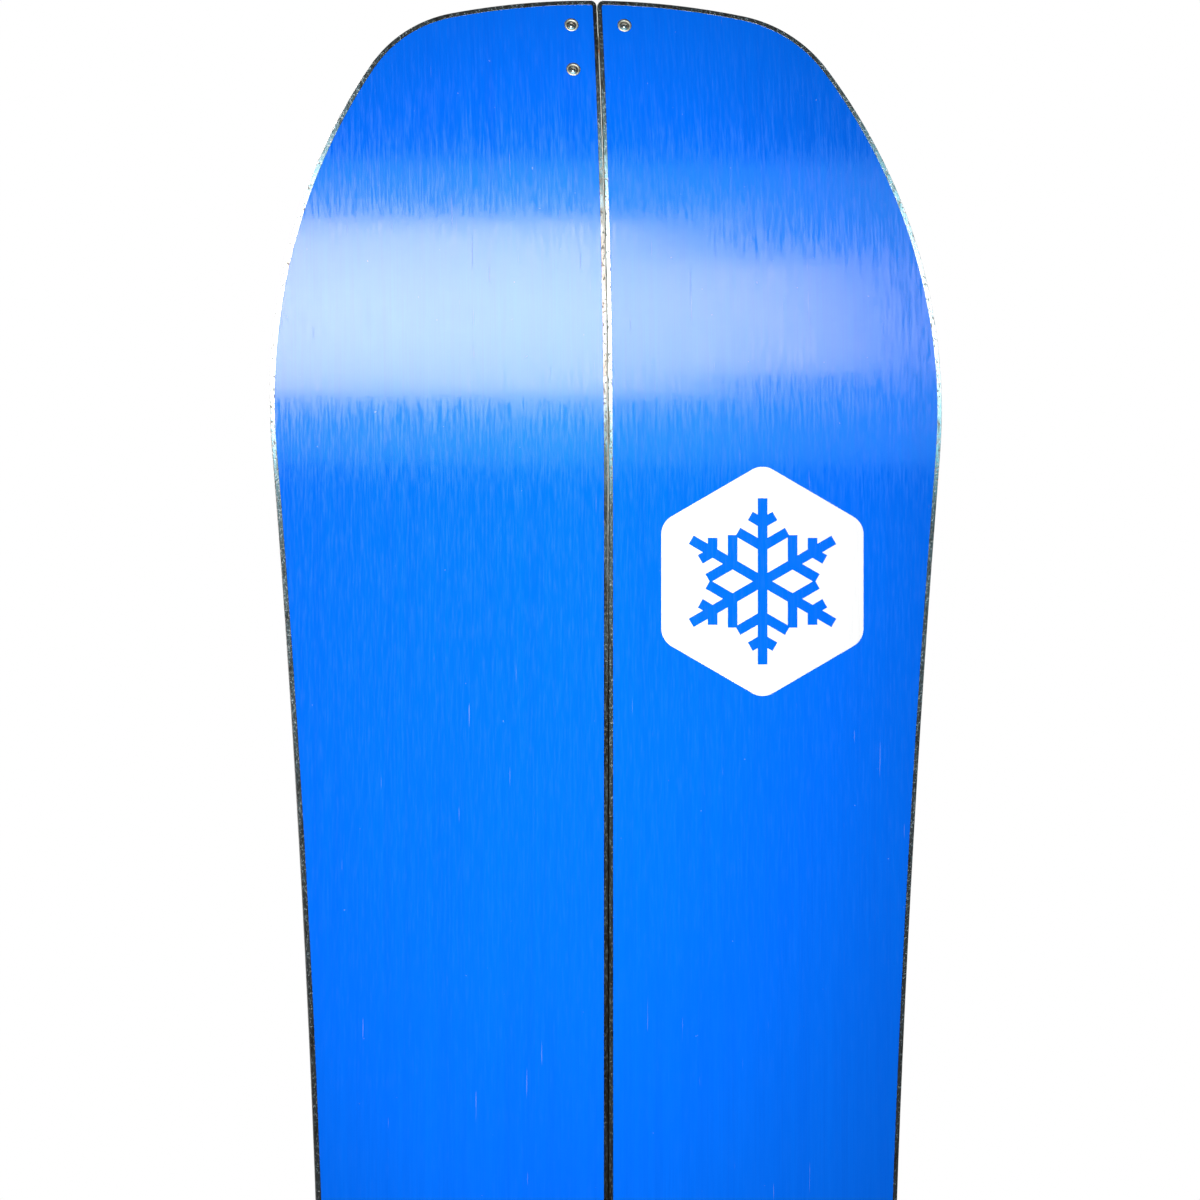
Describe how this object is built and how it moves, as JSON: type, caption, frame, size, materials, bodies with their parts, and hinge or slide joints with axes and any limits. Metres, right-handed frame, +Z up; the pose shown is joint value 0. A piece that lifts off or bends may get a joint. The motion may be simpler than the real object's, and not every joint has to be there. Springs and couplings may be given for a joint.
{
  "type": "splitboard",
  "caption": "Snowboard split along its centre line into two touring halves, with steel edges, tip and tail clip levers and interlocking seam hooks.",
  "frame": {"origin": "under the middle of the board as it lies on its base: the flat base is at z = 0, and the box is centred in x and y", "axes": "+Z up, out of the top sheet; the nose points to -Y and the tail to +Y; +X runs across the board to the right when facing the base with the nose up"},
  "size_m": [0.3, 1.56, 0.0545],
  "materials": {
    "base": "waxed, stone-ground",
    "emblem": "waxed, die-cut inlay",
    "steel_edge": "ground",
    "laminate": "glass fibre in epoxy",
    "core": "poplar strips",
    "spacer": "moulded ABS",
    "sidewall": "planed ABS",
    "top_sheet": "satin nylon",
    "steel_hardware": "stainless",
    "clip_plate": "black anodised",
    "lever": "orange anodised",
    "washer": "nylon",
    "hook_metal": "stamped, satin"
  },
  "bodies": {
    "left_half": {"left_base_sheet": "base", "left_outer_edge": "steel_edge", "left_inner_edge": "steel_edge", "left_lower_laminate": "laminate", "left_wood_core": "core", "left_nose_spacer": "spacer", "left_tail_spacer": "spacer", "left_outer_sidewall": "sidewall", "left_inner_sidewall": "sidewall", "left_upper_laminate": "laminate", "left_top_sheet": "top_sheet", "left_binding_inserts": "steel_hardware", "left_touring_inserts": "steel_hardware", "left_hook_inserts": "steel_hardware", "left_clip_bushes": "steel_hardware", "left_hook_screws": "steel_hardware", "nose_catch": "clip_plate", "tail_catch": "clip_plate", "catch_screws": "steel_hardware", "front_left_hook": "hook_metal", "rear_left_hook": "hook_metal"},
    "right_half": {"right_base_sheet": "base", "right_outer_edge": "steel_edge", "right_inner_edge": "steel_edge", "right_lower_laminate": "laminate", "right_wood_core": "core", "right_nose_spacer": "spacer", "right_tail_spacer": "spacer", "right_outer_sidewall": "sidewall", "right_inner_sidewall": "sidewall", "right_upper_laminate": "laminate", "right_top_sheet": "top_sheet", "right_binding_inserts": "steel_hardware", "right_touring_inserts": "steel_hardware", "right_hook_inserts": "steel_hardware", "right_clip_bushes": "steel_hardware", "right_hook_screws": "steel_hardware", "base_inlay": "emblem", "nose_pivot_screw": "steel_hardware", "tail_pivot_screw": "steel_hardware", "pivot_washers": "washer", "front_right_hook": "hook_metal", "rear_right_hook": "hook_metal"},
    "nose_lever": {"nose_lever": "lever"},
    "tail_lever": {"tail_lever": "lever"}
  },
  "joints": [
    {"name": "halves_split", "type": "slide", "parent": "left_half", "child": "right_half", "axis": [1, 0, 0], "range_m": [0, 0.3]},
    {"name": "nose_lever_turn", "type": "hinge", "parent": "right_half", "child": "nose_lever", "pos_m": [0.012, -0.76545, 0.04985], "axis": [0, -0.3487, -0.9372], "range_deg": [0, 90]},
    {"name": "tail_lever_turn", "type": "hinge", "parent": "right_half", "child": "tail_lever", "pos_m": [0.012, 0.76601, 0.0405], "axis": [0, -0.3054, 0.9522], "range_deg": [0, 90]}
  ]
}
